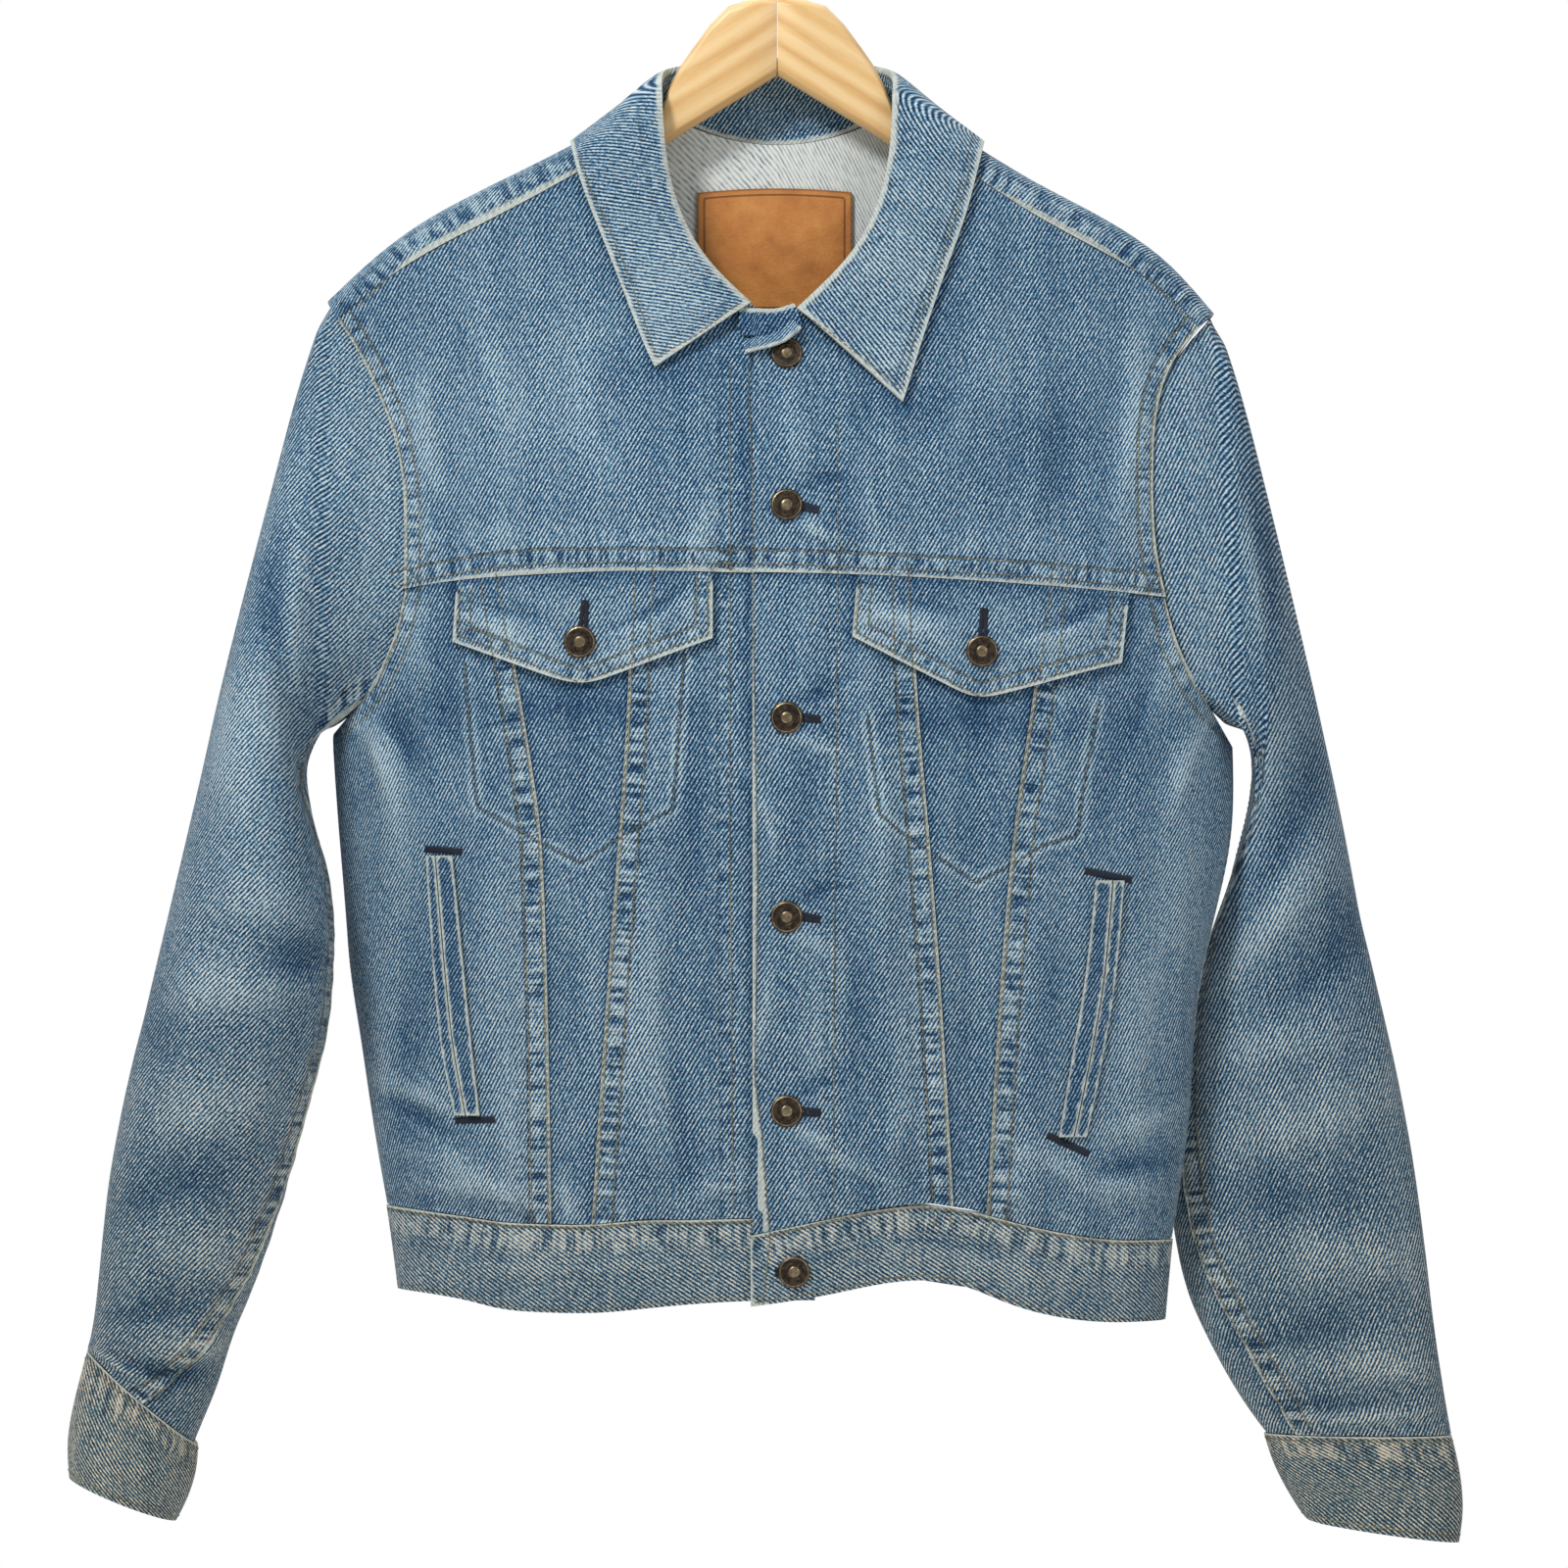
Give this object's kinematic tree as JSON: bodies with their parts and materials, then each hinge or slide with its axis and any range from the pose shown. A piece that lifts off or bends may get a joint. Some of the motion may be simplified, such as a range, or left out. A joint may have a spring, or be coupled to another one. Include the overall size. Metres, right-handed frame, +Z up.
{
  "type": "denim jacket on a wooden hanger",
  "caption": "Waist-length denim trucker jacket with a point collar, buttoned front and flap pockets, hanging flat on a wooden hanger.",
  "frame": {"origin": "inside top of the hanger's hook, where it rests on a rail", "axes": "+X towards the wearer's left, +Y towards the jacket's back, +Z up"},
  "size_m": [0.7496, 0.1414, 0.8961],
  "materials": {
    "denim": "matte",
    "worn_denim": "matte",
    "beech": "satin",
    "steel": "polished",
    "bronze": "antiqued",
    "leather": "matte"
  },
  "bodies": {
    "root": {"front_yoke_right": "denim", "front_yoke_left": "denim", "front_side_right": "denim", "front_taper_right": "denim", "front_centre_right": "denim", "front_centre_left": "denim", "front_taper_left": "denim", "front_side_left": "denim", "back_yoke": "denim", "back_side_right": "denim", "back_centre": "denim", "back_side_left": "denim", "waistband_right": "worn_denim", "waistband_left": "worn_denim", "waistband_back": "worn_denim", "sleeve_top_right": "denim", "sleeve_under_right": "denim", "sleeve_top_left": "denim", "sleeve_under_left": "denim", "cuff_right": "worn_denim", "cuff_left": "worn_denim", "collar": "worn_denim", "flap_right": "denim", "flap_left": "denim", "welt_wide_right": "denim", "welt_lip_right": "denim", "welt_wide_left": "denim", "welt_lip_left": "denim", "label_patch": "leather", "front_button_1": "bronze", "front_button_2": "bronze", "front_button_3": "bronze", "front_button_4": "bronze", "front_button_5": "bronze", "front_button_6": "bronze", "flap_button_right": "bronze", "flap_button_left": "bronze", "cuff_button_right": "bronze", "cuff_button_left": "bronze", "hanger_arm_right": "beech", "hanger_arm_left": "beech", "hanger_hook": "steel"}
  },
  "joints": []
}
